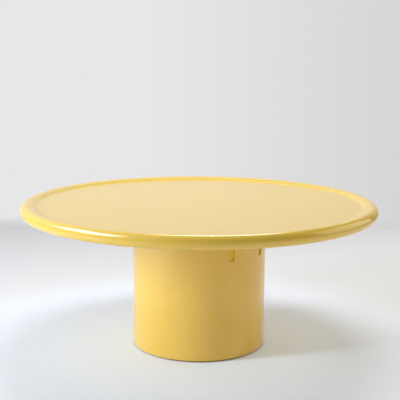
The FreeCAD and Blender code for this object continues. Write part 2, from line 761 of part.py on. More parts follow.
# Levelling feet: a stem with a hexagon, turning in its insert, and a pad on its spigot
for number, place in enumerate(foot_places, 1):
    stem = named(new_body("LevellerStem"), f"leveller_stem_{number}")
    turned(
        stem,
        ("0", "spigot_low_z"),
        ("spigot_r", "spigot_low_z"),
        ("spigot_r", "pad_high"),
        ("stem_r", "pad_high"),
        ("stem_r", "stem_shoulder_z"),
        ("stem_end_r", "stem_top_z"),
        ("0", "stem_top_z"),
    )
    collar = stem.newObject("PartDesign::AdditivePrism", "StemHexagon")
    collar.Polygon = 6
    bind(collar, "Circumradius", "hex_corner_r")
    bind(collar, "Height", "hex_high")
    bind(collar, "Placement.Base.z", "pad_high")
    stem.Placement = place
    pad = named(new_body("LevellerPad"), f"leveller_pad_{number}")
    turned(
        pad,
        ("0", "0"),
        ("pad_base_r", "0"),
        ("pad_r", "pad_edge"),
        ("pad_r", "pad_rim_high"),
        ("pad_neck_r", "pad_high"),
        ("spigot_bore_r", "pad_high"),
        ("spigot_bore_r", "spigot_bore_z"),
        ("0", "spigot_bore_z"),
    )
    pad.Placement = place

# Turn the whole table so that the bearers run the way the notches show
for node in nodes:
    node.Placement = swung(-size("bearer_turn"), node.Placement)
doc.recompute()

# Every object has to be sound before anything is written
for thing in doc.Objects:
    if {"Invalid", "Error"} & set(thing.State):
        raise RuntimeError(f"{thing.Label} failed: {thing.State}")
for node in nodes:
    if node.Shape.isNull() or not node.Shape.isValid() or not node.Shape.Solids:
        raise RuntimeError(f"{node.Label} has no sound solid")
os.makedirs("parts", exist_ok=True)
for node in nodes:
    node.Shape.exportStep(f"parts/{node.Label}.step")
    box = node.Shape.BoundBox
    volume = node.Shape.Volume / 1000
    heights = f"z {box.ZMin:.2f} to {box.ZMax:.2f}"
    print(f"{node.Label}: {len(node.Shape.Solids)} solid(s), {volume:.1f} cm3, {heights}")
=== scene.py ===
import math

import bmesh
import bpy
from mathutils import Matrix, Vector


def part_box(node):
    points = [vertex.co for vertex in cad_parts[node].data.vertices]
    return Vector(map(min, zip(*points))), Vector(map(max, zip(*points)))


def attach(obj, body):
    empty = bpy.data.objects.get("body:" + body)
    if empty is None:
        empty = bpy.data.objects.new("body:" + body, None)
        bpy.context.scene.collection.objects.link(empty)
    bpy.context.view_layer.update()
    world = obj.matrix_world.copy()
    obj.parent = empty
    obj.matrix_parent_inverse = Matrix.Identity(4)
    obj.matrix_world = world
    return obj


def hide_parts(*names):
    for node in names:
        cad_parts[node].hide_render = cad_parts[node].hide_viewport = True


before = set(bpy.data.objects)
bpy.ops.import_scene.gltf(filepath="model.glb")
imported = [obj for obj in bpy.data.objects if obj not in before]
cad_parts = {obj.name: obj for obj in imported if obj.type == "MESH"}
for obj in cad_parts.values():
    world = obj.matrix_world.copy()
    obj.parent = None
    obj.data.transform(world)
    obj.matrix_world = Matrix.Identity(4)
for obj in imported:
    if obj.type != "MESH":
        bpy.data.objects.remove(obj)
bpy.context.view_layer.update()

# Levelling pads: four moulded nylon discs that stand on the floor inside the drum.
# A straight rim carries a coned top, and a socket in the middle snaps onto the spigot
# of the screw above, so that a pad stays put while its screw turns.
FEET = (1, 2, 3, 4)
PAD_R = 0.020
PAD_NECK_R = 0.0125
PAD_HIGH = 0.008
PAD_RIM_HIGH = 0.003
PAD_EDGE = 0.0008
PAD_SOCKET_R = 0.00405
PAD_SOCKET_LOW = 0.003
PAD_EDGE_STEPS = 5
PAD_SHOULDER_TURN = -56
PAD_SHOULDER_STEPS = 4
PAD_STEPS = 96
MERGE_GAP = 1e-6
SHARP_ANGLE = math.radians(35)
NYLON_BLACK = (0.020, 0.020, 0.022, 1)
NYLON_FLECK = (0.032, 0.032, 0.034, 1)


def node(tree, kind, inputs=None, **options):
    """Adds a shader node, sets its options, then sets or links its input sockets."""
    made = tree.nodes.new(kind)
    for option, value in options.items():
        setattr(made, option, value)
    for socket, value in (inputs or {}).items():
        if isinstance(value, bpy.types.NodeSocket):
            tree.links.new(value, made.inputs[socket])
        else:
            made.inputs[socket].default_value = value
    return made


def maths(tree, operation, *values):
    return node(tree, "ShaderNodeMath", dict(enumerate(values)), operation=operation).outputs[0]


def mix_colours(tree, share, first, second):
    sockets = {0: share, 6: first, 7: second}
    return node(tree, "ShaderNodeMix", sockets, data_type="RGBA").outputs[2]


def noise(tree, place, scale, detail=3.0, rough=0.5):
    sockets = {"Vector": place, "Scale": scale, "Detail": detail, "Roughness": rough}
    return node(tree, "ShaderNodeTexNoise", sockets).outputs["Fac"]


def spread(tree, value, low, high, to_low=0.0, to_high=1.0):
    """Carries a value from one range to another, held at the ends."""
    sockets = {"Value": value, "From Min": low, "From Max": high, "To Min": to_low, "To Max": to_high}
    return node(tree, "ShaderNodeMapRange", sockets).outputs["Result"]


def new_effect(name, inputs, outputs):
    """An empty node group with named sockets. Gives the group, its inlets and its outlets."""
    group = bpy.data.node_groups.new(name, "ShaderNodeTree")
    for in_out, sockets in (("INPUT", inputs), ("OUTPUT", outputs)):
        for socket, kind in sockets.items():
            group.interface.new_socket(socket, in_out=in_out, socket_type="NodeSocket" + kind)
    inlets = group.nodes.new("NodeGroupInput").outputs
    outlets = group.nodes.new("NodeGroupOutput").inputs
    return group, inlets, outlets


# Grain: a fine two-tone mottle with its own dullness and relief
FLECK_FROM = 0.40
FLECK_FULL = 0.66
GRAIN_DULLING = 0.25
GRAIN_INLETS = {"Place": "Vector", "Colour": "Color", "Fleck": "Color", "Grains": "Float", "Dull": "Float"}
SURFACE_OUTLETS = {"Colour": "Color", "Roughness": "Float", "Height": "Float"}
grain, inlets, outlets = new_effect("grain", GRAIN_INLETS, SURFACE_OUTLETS)
mottle = noise(grain, inlets["Place"], inlets["Grains"], detail=5.0, rough=0.62)
flecked = spread(grain, mottle, FLECK_FROM, FLECK_FULL)
grain.links.new(mix_colours(grain, flecked, inlets["Colour"], inlets["Fleck"]), outlets["Colour"])
grain.links.new(maths(grain, "MULTIPLY_ADD", mottle, GRAIN_DULLING, inlets["Dull"]), outlets["Roughness"])
grain.links.new(mottle, outlets["Height"])


def new_finish(name, effect, relief, **values):
    """A material whose colour, roughness and relief come from an effect with these values."""
    finish = bpy.data.materials.new(name)
    finish.use_nodes = True
    tree = finish.node_tree
    shader = next(n for n in tree.nodes if n.type == "BSDF_PRINCIPLED")
    values["Place"] = node(tree, "ShaderNodeTexCoord").outputs["Object"]
    surface = node(tree, "ShaderNodeGroup", values, node_tree=effect).outputs
    bump = node(tree, "ShaderNodeBump", {"Height": surface["Height"], "Distance": relief})
    tree.links.new(surface["Colour"], shader.inputs["Base Color"])
    tree.links.new(surface["Roughness"], shader.inputs["Roughness"])
    tree.links.new(bump.outputs["Normal"], shader.inputs["Normal"])
    return finish, shader


def pen_down(bm, across, up):
    """Starts a half section at a distance from the axis and a height."""
    return bmesh.ops.create_vert(bm, co=(across, 0, up))["vert"][0]


def draw_line(bm, tip, across, up):
    tip = bmesh.ops.extrude_vert_indiv(bm, verts=[tip])["verts"][0]
    tip.co = (across, 0, up)
    return tip


def draw_arc(bm, tip, centre_across, centre_up, degrees, steps):
    """Carries the pen round a centre. Positive is clockwise, with the axis on the left."""
    swept = bmesh.ops.spin(
        bm,
        geom=[tip],
        cent=(centre_across, 0, centre_up),
        axis=(0, 1, 0),
        angle=math.radians(degrees),
        steps=steps,
    )
    return next(g for g in swept["geom_last"] if isinstance(g, bmesh.types.BMVert))


def close_section(bm, tip, start):
    bm.edges.new((tip, start))


def turn_on_lathe(bm, steps):
    """Turns the drawn half section round the vertical axis."""
    bmesh.ops.spin(
        bm,
        geom=bm.verts[:] + bm.edges[:],
        cent=(0, 0, 0),
        axis=(0, 0, 1),
        angle=2 * math.pi,
        steps=steps,
        use_merge=True,
    )
    bmesh.ops.remove_doubles(bm, verts=bm.verts[:], dist=MERGE_GAP)
    bmesh.ops.recalc_face_normals(bm, faces=bm.faces[:])


def new_piece(name, bm, finish, body, slot, *nodes):
    """Makes the mesh an object of the table, in place of the solids that it stands for."""
    mesh = bpy.data.meshes.new(name)
    bm.to_mesh(mesh)
    bm.free()
    mesh.materials.append(finish)
    mesh.shade_smooth()
    mesh.set_sharp_from_angle(angle=SHARP_ANGLE)
    piece = bpy.data.objects.new(name, mesh)
    bpy.context.scene.collection.objects.link(piece)
    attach(piece, body)
    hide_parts(*nodes)


def foot_axis(foot):
    """Point on the floor under the middle of a levelling foot."""
    low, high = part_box(f"leveller_pad_{foot}")
    return Vector(((low.x + high.x) / 2, (low.y + high.y) / 2, 0))


matt_nylon, _ = new_finish(
    "matt_nylon",
    grain,
    relief=0.00015,
    Colour=NYLON_BLACK,
    Fleck=NYLON_FLECK,
    Grains=1400.0,
    Dull=0.42,
)
for foot in FEET:
    bm = bmesh.new()
    tip = pen_down(bm, 0, 0)
    tip = draw_line(bm, tip, PAD_R - PAD_EDGE, 0)
    tip = draw_arc(bm, tip, PAD_R - PAD_EDGE, PAD_EDGE, -90, PAD_EDGE_STEPS)
    shoulder_up = PAD_RIM_HIGH - PAD_EDGE
    tip = draw_line(bm, tip, PAD_R, shoulder_up)
    tip = draw_arc(bm, tip, PAD_R - PAD_EDGE, shoulder_up, PAD_SHOULDER_TURN, PAD_SHOULDER_STEPS)
    tip = draw_line(bm, tip, PAD_NECK_R, PAD_HIGH)
    tip = draw_line(bm, tip, PAD_SOCKET_R, PAD_HIGH)
    tip = draw_line(bm, tip, PAD_SOCKET_R, PAD_SOCKET_LOW)
    draw_line(bm, tip, 0, PAD_SOCKET_LOW)
    turn_on_lathe(bm, PAD_STEPS)
    bmesh.ops.translate(bm, verts=bm.verts[:], vec=foot_axis(foot))
    new_piece(f"pad_{foot}", bm, matt_nylon, f"foot_pad_{foot}", "nylon_pad", f"leveller_pad_{foot}")

# Levelling screws: bright zinc-plated steel. A hexagon for the spanner sits under a
# rolled thread that runs up into the base, and a plain spigot below turns in the pad.
SPIGOT_R = 0.004
SPIGOT_LOW = 0.0032
SPIGOT_CHAMFER = 0.0004
SPIGOT_STEPS = 48
SCREW_HEX_WIDE = 0.017
SCREW_HEX_LOW = 0.008
SCREW_HEX_HIGH = 0.013
SCREW_TOP = 0.048
THREAD_CREST_R = 0.005
THREAD_DEEP = 0.0009
THREAD_PITCH = 0.0015
THREAD_CREST_FROM = 0.42 * THREAD_PITCH
THREAD_CREST_TO = 0.58 * THREAD_PITCH
THREAD_STEPS = 20
THREAD_MERGE_GAP = 1e-5
HEX_CHAMFER = 0.0011
HEX_STEPS = 72
ZINC_BRIGHT = (0.60, 0.62, 0.65, 1)
ZINC_STAIN = (0.44, 0.45, 0.46, 1)

# Plating: cloudy zinc over fine turning marks
CLOUD_SCALE = 140.0
CLOUD_FROM = 0.42
CLOUD_FULL = 0.72
MARK_SCALE = 160.0
MARK_STRETCH = (1, 1, 24)
MARK_DULLING = 0.22
PLATING_INLETS = {"Place": "Vector", "Colour": "Color", "Stain": "Color", "Dull": "Float"}
plating, inlets, outlets = new_effect("plating", PLATING_INLETS, SURFACE_OUTLETS)
cloudiness = noise(plating, inlets["Place"], CLOUD_SCALE, detail=4.0)
clouds = spread(plating, cloudiness, CLOUD_FROM, CLOUD_FULL)
sockets = {"Vector": inlets["Place"], "Scale": MARK_STRETCH}
stretch = node(plating, "ShaderNodeMapping", sockets).outputs[0]
turning_marks = noise(plating, stretch, MARK_SCALE, detail=2.0)
plating.links.new(mix_colours(plating, clouds, inlets["Colour"], inlets["Stain"]), outlets["Colour"])
marked_dull = maths(plating, "MULTIPLY_ADD", turning_marks, MARK_DULLING, inlets["Dull"])
plating.links.new(marked_dull, outlets["Roughness"])
plating.links.new(turning_marks, outlets["Height"])

bright_zinc, shader = new_finish(
    "bright_zinc",
    plating,
    relief=0.00003,
    Colour=ZINC_BRIGHT,
    Stain=ZINC_STAIN,
    Dull=0.20,
)
shader.inputs["Metallic"].default_value = 1.0


def cut_square(bm, spot, facing):
    """Cuts away what lies beyond a plane and closes the cut."""
    whole = bm.verts[:] + bm.edges[:] + bm.faces[:]
    cut = bmesh.ops.bisect_plane(bm, geom=whole, plane_co=spot, plane_no=facing, clear_outer=True)
    edges = [g for g in cut["geom_cut"] if isinstance(g, bmesh.types.BMEdge)]
    bmesh.ops.edgeloop_fill(bm, edges=edges)


def threaded_bar(low, high):
    """Bar with a rolled thread: one pitch of the flank, turned and lifted, cut off square."""
    bm = bmesh.new()
    foot = low - THREAD_PITCH
    tip = pen_down(bm, THREAD_CREST_R - THREAD_DEEP, foot)
    tip = draw_line(bm, tip, THREAD_CREST_R, foot + THREAD_CREST_FROM)
    tip = draw_line(bm, tip, THREAD_CREST_R, foot + THREAD_CREST_TO)
    draw_line(bm, tip, THREAD_CREST_R - THREAD_DEEP, foot + THREAD_PITCH)
    bmesh.ops.spin(
        bm,
        geom=bm.verts[:] + bm.edges[:],
        cent=(0, 0, 0),
        axis=(0, 0, 1),
        dvec=(0, 0, THREAD_PITCH / THREAD_STEPS),
        angle=2 * math.pi,
        steps=THREAD_STEPS,
    )
    turns = 1
    while foot + turns * THREAD_PITCH < high + THREAD_PITCH:
        copied = bmesh.ops.duplicate(bm, geom=bm.verts[:] + bm.edges[:] + bm.faces[:])["geom"]
        lifted = [g for g in copied if isinstance(g, bmesh.types.BMVert)]
        bmesh.ops.translate(bm, verts=lifted, vec=(0, 0, turns * THREAD_PITCH))
        turns *= 2
    bmesh.ops.remove_doubles(bm, verts=bm.verts[:], dist=THREAD_MERGE_GAP)
    cut_square(bm, (0, 0, low), (0, 0, -1))
    cut_square(bm, (0, 0, high), (0, 0, 1))
    bmesh.ops.recalc_face_normals(bm, faces=bm.faces[:])
    return bm


def hexagon(wide, low, high, bore_r):
    """Hexagon as it is made: a chamfered blank is turned, then six flats are milled."""
    bm = bmesh.new()
    corner_r = wide / math.sqrt(3)
    start = pen_down(bm, bore_r, low)
    tip = draw_line(bm, start, corner_r - HEX_CHAMFER, low)
    tip = draw_line(bm, tip, corner_r, low + HEX_CHAMFER / 2)
    tip = draw_line(bm, tip, corner_r, high - HEX_CHAMFER / 2)
    tip = draw_line(bm, tip, corner_r - HEX_CHAMFER, high)
    tip = draw_line(bm, tip, bore_r, high)
    close_section(bm, tip, start)
    turn_on_lathe(bm, HEX_STEPS)
    for side in range(6):
        facing = Matrix.Rotation(math.radians(60 * side), 3, "Z") @ Vector((1, 0, 0))
        cut_square(bm, facing * (wide / 2), facing)
    bmesh.ops.recalc_face_normals(bm, faces=bm.faces[:])
    return bm


def add_to(bm, other):
    """Moves another mesh's shape into this one."""
    carrier = bpy.data.meshes.new("carrier")
    other.to_mesh(carrier)
    other.free()
    bm.from_mesh(carrier)
    bpy.data.meshes.remove(carrier)


for foot in FEET:
    bm = threaded_bar(SCREW_HEX_HIGH, SCREW_TOP)
    spigot = bmesh.new()
    tip = pen_down(spigot, 0, SPIGOT_LOW)
    tip = draw_line(spigot, tip, SPIGOT_R - SPIGOT_CHAMFER, SPIGOT_LOW)
    tip = draw_line(spigot, tip, SPIGOT_R, SPIGOT_LOW + SPIGOT_CHAMFER)
    tip = draw_line(spigot, tip, SPIGOT_R, SCREW_HEX_HIGH)
    draw_line(spigot, tip, 0, SCREW_HEX_HIGH)
    turn_on_lathe(spigot, SPIGOT_STEPS)
    add_to(bm, spigot)
    add_to(bm, hexagon(SCREW_HEX_WIDE, SCREW_HEX_LOW, SCREW_HEX_HIGH, SPIGOT_R))
    bmesh.ops.translate(bm, verts=bm.verts[:], vec=foot_axis(foot))
    new_piece(f"screw_{foot}", bm, bright_zinc, f"foot_stem_{foot}", "zinc_steel", f"leveller_stem_{foot}")

# Base disc: a fibreboard disc glued inside the foot of the drum, sealed against floor
# damp. Four flanged steel inserts pressed in from below take the levelling screws.
SEALED_BROWN = (0.155, 0.105, 0.065, 1)
SEALED_FLECK = (0.215, 0.150, 0.096, 1)


def dress(finish, *names):
    """Gives solids that keep their own shape a finish."""
    for name in names:
        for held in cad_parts[name].material_slots:
            held.material = finish


sealed_board, _ = new_finish(
    "sealed_board",
    grain,
    relief=0.00012,
    Colour=SEALED_BROWN,
    Fleck=SEALED_FLECK,
    Grains=750.0,
    Dull=0.38,
)
dress(sealed_board, "base_disc")
dress(bright_zinc, "leveller_inserts")

# Ballast plate: a grey-iron disc cast in sand and primed black. It keeps the drum heavy
# at the foot, and four coach screws hold it down on the base disc.
PRIMED_BLACK = (0.030, 0.030, 0.032, 1)
PRIMED_WORN = (0.060, 0.058, 0.056, 1)

primed_iron, _ = new_finish(
    "primed_iron",
    grain,
    relief=0.0006,
    Colour=PRIMED_BLACK,
    Fleck=PRIMED_WORN,
    Grains=420.0,
    Dull=0.48,
)
dress(primed_iron, "ballast_plate")
dress(bright_zinc, "ballast_screws")

# Drum: two bent plywood shells joined into one round pedestal, filled, sanded and
# sprayed in yellow gloss lacquer. Its lower edge is eased, and four round-ended notches
# at the top take the bearers, whose ends stop just behind the face.
DRUM_R = 0.190
DRUM_INNER_R = 0.172
DRUM_LOW = 0.003
DRUM_TOP = 0.380
DRUM_EDGE = 0.004
DRUM_EDGE_STEPS = 8
DRUM_STEPS = 360
NOTCH_OUT = 0.057
NOTCH_R = 0.0092
NOTCH_ROUND_Z = 0.284
NOTCH_ROUND_STEPS = 32
NOTCH_OVERCUT = 0.005
NOTCH_HALF_LONG = 1.1 * DRUM_R
NOTCH_EASE = 0.0006
EASE_SEGMENTS = 3
EASE_ANGLE = math.radians(40)
EASE_LOW = DRUM_LOW + 0.010
EASE_HIGH = DRUM_TOP - 0.001
ON_FACE = 0.0002
WALL_RINGS = (0.100, 0.200, 0.268, 0.272)
BEARER_TURN = math.radians(-45)
YELLOW = (0.820, 0.560, 0.078, 1)
YELLOW_DEEP = (0.800, 0.541, 0.072, 1)

# Sprayed lacquer: a slow drift of tone, the faint peel of the spray, and rare dust nibs
DRIFT_SCALE = 4.0
DRIFT_FROM = 0.30
DRIFT_FULL = 0.70
PEEL_SCALE = 420.0
PEEL_DEEP = 0.000012
HAZE_SCALE = 22.0
HAZE_DULLING = 0.10
NIB_SCALE = 210.0
NIB_RARITY = 0.975
NIB_WIDE = 0.16
NIB_HIGH = 0.8
PIGMENT_GLOSS = 0.15
CLEAR_COAT_IOR = 1.8
LACQUER_INLETS = {"Place": "Vector", "Colour": "Color", "Deep": "Color", "Dull": "Float"}
sprayed, inlets, outlets = new_effect("sprayed_lacquer", LACQUER_INLETS, SURFACE_OUTLETS)
tone = noise(sprayed, inlets["Place"], DRIFT_SCALE, detail=2.0)
drift = spread(sprayed, tone, DRIFT_FROM, DRIFT_FULL)
peel = noise(sprayed, inlets["Place"], PEEL_SCALE, detail=1.5, rough=0.4)
haze = noise(sprayed, inlets["Place"], HAZE_SCALE, detail=4.0)
cells = node(sprayed, "ShaderNodeTexVoronoi", {"Vector": inlets["Place"], "Scale": NIB_SCALE}).outputs
cell_mark = node(sprayed, "ShaderNodeSeparateColor", {0: cells["Color"]}).outputs[0]
nib_here = maths(sprayed, "GREATER_THAN", cell_mark, NIB_RARITY)
nib_dome = spread(sprayed, cells["Distance"], 0.0, NIB_WIDE, 1.0, 0.0)
nib = maths(sprayed, "MULTIPLY", nib_here, nib_dome)
sprayed.links.new(mix_colours(sprayed, drift, inlets["Colour"], inlets["Deep"]), outlets["Colour"])
hazed_dull = maths(sprayed, "MULTIPLY_ADD", haze, HAZE_DULLING, inlets["Dull"])
sprayed.links.new(hazed_dull, outlets["Roughness"])
sprayed.links.new(maths(sprayed, "MULTIPLY_ADD", nib, NIB_HIGH, peel), outlets["Height"])


def yellow_lacquer(name, dull, coat, coat_dull, colour=YELLOW, deep=YELLOW_DEEP):
    """Gloss lacquer: a pigmented coat under a clear one."""
    finish, shader = new_finish(name, sprayed, relief=PEEL_DEEP, Colour=colour, Deep=deep, Dull=dull)
    shader.inputs["Specular IOR Level"].default_value = PIGMENT_GLOSS
    shader.inputs["Coat Weight"].default_value = coat
    shader.inputs["Coat Roughness"].default_value = coat_dull
    shader.inputs["Coat IOR"].default_value = CLEAR_COAT_IOR
    return finish


drum_lacquer = yellow_lacquer("drum_lacquer", dull=0.42, coat=0.9, coat_dull=0.08)


def round_ended_bar(out, half_wide, top):
    """Bar along the bearers, rounded below, longer than the drum is wide."""
    bm = bmesh.new()
    start = pen_down(bm, out - half_wide, top)
    tip = draw_line(bm, start, out - half_wide, NOTCH_ROUND_Z)
    tip = draw_arc(bm, tip, out, NOTCH_ROUND_Z, -180, NOTCH_ROUND_STEPS)
    tip = draw_line(bm, tip, out + half_wide, top)
    close_section(bm, tip, start)
    section = bmesh.ops.edgeloop_fill(bm, edges=bm.edges[:])["faces"]
    bmesh.ops.translate(bm, verts=bm.verts[:], vec=(0, -NOTCH_HALF_LONG, 0))
    pushed = bmesh.ops.extrude_face_region(bm, geom=section)["geom"]
    moved = [g for g in pushed if isinstance(g, bmesh.types.BMVert)]
    bmesh.ops.translate(bm, verts=moved, vec=(0, 2 * NOTCH_HALF_LONG, 0))
    bmesh.ops.recalc_face_normals(bm, faces=bm.faces[:])
    turn = Matrix.Rotation(BEARER_TURN + math.pi / 2, 3, "Z")
    bmesh.ops.rotate(bm, verts=bm.verts[:], cent=(0, 0, 0), matrix=turn)
    return bm


def carve(bm, operation, *tools):
    """Cuts a shape by others, or keeps what they share, and gives the result."""
    held = []
    for shape in (bm, *tools):
        mesh = bpy.data.meshes.new("carving")
        shape.to_mesh(mesh)
        shape.free()
        held.append(bpy.data.objects.new("carving", mesh))
        bpy.context.scene.collection.objects.link(held[-1])
    for tool in held[1:]:
        step = held[0].modifiers.new("carving", "BOOLEAN")
        step.object = tool
        step.operation = operation
        step.solver = "EXACT"
    bpy.context.view_layer.update()
    carved = held[0].evaluated_get(bpy.context.evaluated_depsgraph_get())
    result = bmesh.new()
    result.from_mesh(carved.to_mesh())
    carved.to_mesh_clear()
    for used in held:
        mesh = used.data
        bpy.data.objects.remove(used)
        bpy.data.meshes.remove(mesh)
    bmesh.ops.remove_doubles(result, verts=result.verts[:], dist=MERGE_GAP)
    return result


def ease_curved_edges(bm, radius, amount):
    """Rounds the sharp edges that lie on a cylinder, apart from those at the top."""
    sharp = [
        edge
        for edge in bm.edges
        if len(edge.link_faces) == 2
        and edge.calc_face_angle() > EASE_ANGLE
        and all(abs(v.co.xy.length - radius) < ON_FACE for v in edge.verts)
        and any(EASE_LOW < v.co.z < EASE_HIGH for v in edge.verts)
    ]
    bmesh.ops.bevel(
        bm,
        geom=sharp,
        offset=amount,
        offset_type="OFFSET",
        affect="EDGES",
        segments=EASE_SEGMENTS,
        profile=0.5,
        material=-1,
        clamp_overlap=True,
    )


bm = bmesh.new()
start = pen_down(bm, DRUM_INNER_R, DRUM_LOW)
tip = draw_line(bm, start, DRUM_R - DRUM_EDGE, DRUM_LOW)
tip = draw_arc(bm, tip, DRUM_R - DRUM_EDGE, DRUM_LOW + DRUM_EDGE, -90, DRUM_EDGE_STEPS)
for up in (*WALL_RINGS, DRUM_TOP):
    tip = draw_line(bm, tip, DRUM_R, up)
tip = draw_line(bm, tip, DRUM_INNER_R, DRUM_TOP)
close_section(bm, tip, start)
turn_on_lathe(bm, DRUM_STEPS)
cut_top = DRUM_TOP + NOTCH_OVERCUT
notches = [round_ended_bar(out, NOTCH_R, cut_top) for out in (NOTCH_OUT, -NOTCH_OUT)]
bm = carve(bm, "DIFFERENCE", *notches)
ease_curved_edges(bm, DRUM_R, NOTCH_EASE)
new_piece("drum", bm, drum_lacquer, "table", "lacquered_drum", "drum_half_1", "drum_half_2")

# Upper former and seam battens: bare board inside the drum. The ring keeps the shell
# round and carries the bearers, and the two strips back the shells' glued seams.
BARE_TAN = (0.335, 0.225, 0.130, 1)
BARE_FLECK = (0.430, 0.305, 0.190, 1)

bare_board, _ = new_finish(
    "bare_board",
    grain,
    relief=0.0002,
    Colour=BARE_TAN,
    Fleck=BARE_FLECK,
    Grains=620.0,
    Dull=0.62,
)
dress(bare_board, "upper_former", "seam_batten_1", "seam_batten_2")

# Bearers: two boards on edge under the top. Their ends are cut to the drum's curve, eased
# all round and sprayed with the colour alone, because they show in its notches.
# A bare block screwed between them takes the tie rod.
BEARER_THICK = 0.018
BEARER_END_R = 0.186
BEARER_SPAN_LOW = 0.25
BEARER_SPAN_HIGH = 0.40
BEARER_EASE = 0.0014
# Painted light: the bearers' yellow is lighter than the drum's, to make up for the shade that the notches
# cast on their ends
BEARER_YELLOW_PAINTED_LIGHTER = (0.880, 0.640, 0.090, 1)
BEARER_YELLOW_PAINTED_LIGHTER_DEEP = (0.860, 0.620, 0.084, 1)

bearer_lacquer = yellow_lacquer(
    "bearer_lacquer",
    dull=0.50,
    coat=0.0,
    coat_dull=0.20,
    colour=BEARER_YELLOW_PAINTED_LIGHTER,
    deep=BEARER_YELLOW_PAINTED_LIGHTER_DEEP,
)
for number, out in ((1, NOTCH_OUT), (2, -NOTCH_OUT)):
    ends = bmesh.new()
    tip = pen_down(ends, 0, BEARER_SPAN_LOW)
    tip = draw_line(ends, tip, BEARER_END_R, BEARER_SPAN_LOW)
    tip = draw_line(ends, tip, BEARER_END_R, BEARER_SPAN_HIGH)
    draw_line(ends, tip, 0, BEARER_SPAN_HIGH)
    turn_on_lathe(ends, DRUM_STEPS)
    bm = carve(round_ended_bar(out, BEARER_THICK / 2, DRUM_TOP), "INTERSECT", ends)
    ease_curved_edges(bm, BEARER_END_R, BEARER_EASE)
    name = f"bearer_{number}"
    new_piece(f"eased_{name}", bm, bearer_lacquer, "table", "lacquered_drum", name)
dress(bare_board, "spreader_block")
dress(bright_zinc, "block_screws")

# Tie rod: a length of zinc-plated studding down the middle of the drum. A nut and a wide
# washer at the foot and a pair round the block clamp the top's frame to the base.
ROD_LOW = 0.0035
ROD_TOP = 0.3635
NUT_WIDE = 0.016
NUT_HIGH = 0.008
NUT_BORE_R = 0.00505
NUT_FEET = (0.3525, 0.3035, 0.0045)
WASHER_R = 0.020
WASHER_BORE_R = 0.0055
WASHER_THICK = 0.0025
WASHER_EDGE = 0.0004
WASHER_EDGE_STEPS = 3
WASHER_STEPS = 72
WASHER_FEET = (0.350, 0.3115, 0.0125)

new_piece("studding", threaded_bar(ROD_LOW, ROD_TOP), bright_zinc, "table", "zinc_steel", "tie_rod")
bm = bmesh.new()
for low in NUT_FEET:
    add_to(bm, hexagon(NUT_WIDE, low, low + NUT_HIGH, NUT_BORE_R))
new_piece("rod_nuts", bm, bright_zinc, "table", "zinc_steel", "tie_rod_nuts")
bm = bmesh.new()
for low in WASHER_FEET:
    ring = bmesh.new()
    high = low + WASHER_THICK
    start = pen_down(ring, WASHER_BORE_R, low)
    tip = draw_line(ring, start, WASHER_R - WASHER_EDGE, low)
    tip = draw_arc(ring, tip, WASHER_R - WASHER_EDGE, low + WASHER_EDGE, -90, WASHER_EDGE_STEPS)
    tip = draw_line(ring, tip, WASHER_R, high - WASHER_EDGE)
    tip = draw_arc(ring, tip, WASHER_R - WASHER_EDGE, high - WASHER_EDGE, -90, WASHER_EDGE_STEPS)
    tip = draw_line(ring, tip, WASHER_BORE_R, high)
    close_section(ring, tip, start)
    turn_on_lathe(ring, WASHER_STEPS)
    add_to(bm, ring)
new_piece("rod_washers", bm, bright_zinc, "table", "zinc_steel", "tie_rod_washers")

# Cleats: four bent steel angles with a duller plating, screwed to the bearers and up
# into the top.
ZINC_DULL = (0.47, 0.48, 0.49, 1)
ZINC_DULL_STAIN = (0.33, 0.33, 0.33, 1)

dull_zinc, shader = new_finish(
    "dull_zinc",
    plating,
    relief=0.00005,
    Colour=ZINC_DULL,
    Stain=ZINC_DULL_STAIN,
    Dull=0.34,
)
shader.inputs["Metallic"].default_value = 1.0
dress(dull_zinc, "cleat_1", "cleat_2", "cleat_3", "cleat_4")
dress(bright_zinc, "cleat_side_screws", "cleat_top_screws")

# Field of the top: a fibreboard disc sprayed with the rim, so that no joint shows.
# A thinner backing disc, sprayed once and left duller, closes the underside.
FIELD_R = 0.445
FIELD_LOW = 0.389
FIELD_TOP = 0.407
FIELD_RINGS = (0.75, 0.50, 0.25, 0)
TOP_STEPS = 360

top_lacquer = yellow_lacquer("top_lacquer", dull=0.40, coat=0.8, coat_dull=0.10)
bm = bmesh.new()
tip = pen_down(bm, 0, FIELD_LOW)
tip = draw_line(bm, tip, FIELD_R, FIELD_LOW)
tip = draw_line(bm, tip, FIELD_R, FIELD_TOP)
for share in FIELD_RINGS:
    tip = draw_line(bm, tip, share * FIELD_R, FIELD_TOP)
turn_on_lathe(bm, TOP_STEPS)
new_piece("field", bm, top_lacquer, "table", "lacquered_top", "top_panel")

underside_lacquer = yellow_lacquer("underside_lacquer", dull=0.50, coat=0.25, coat_dull=0.20)
dress(underside_lacquer, "backing_panel")

# Rim: eight curved segments glued end to end over loose splines, then turned as one ring
# to a bullnose outside and an S-shaped roll down to the field, and sprayed in gloss lacquer.
RIM_R = 0.500
RIM_THICK = 0.035
RIM_TOP = 0.415
RIM_FOOT_R = 0.451
RIM_HOLLOW_R = 0.018
RIM_NOSE_STEPS = 40
RIM_ROLL_STEPS = 12
RIM_HOLLOW_STEPS = 8
RIM_CREST_R = RIM_R - RIM_THICK / 2
RIM_LOW = RIM_TOP - RIM_THICK

# The inner roll is level at the crest, and a small hollow brings it level again at the field
roll_run = RIM_CREST_R - RIM_FOOT_R
roll_drop = RIM_TOP - FIELD_TOP
roll_turn = 2 * math.atan(roll_drop / roll_run)
roll_r = roll_run / math.sin(roll_turn) - RIM_HOLLOW_R
roll_degrees = math.degrees(roll_turn)

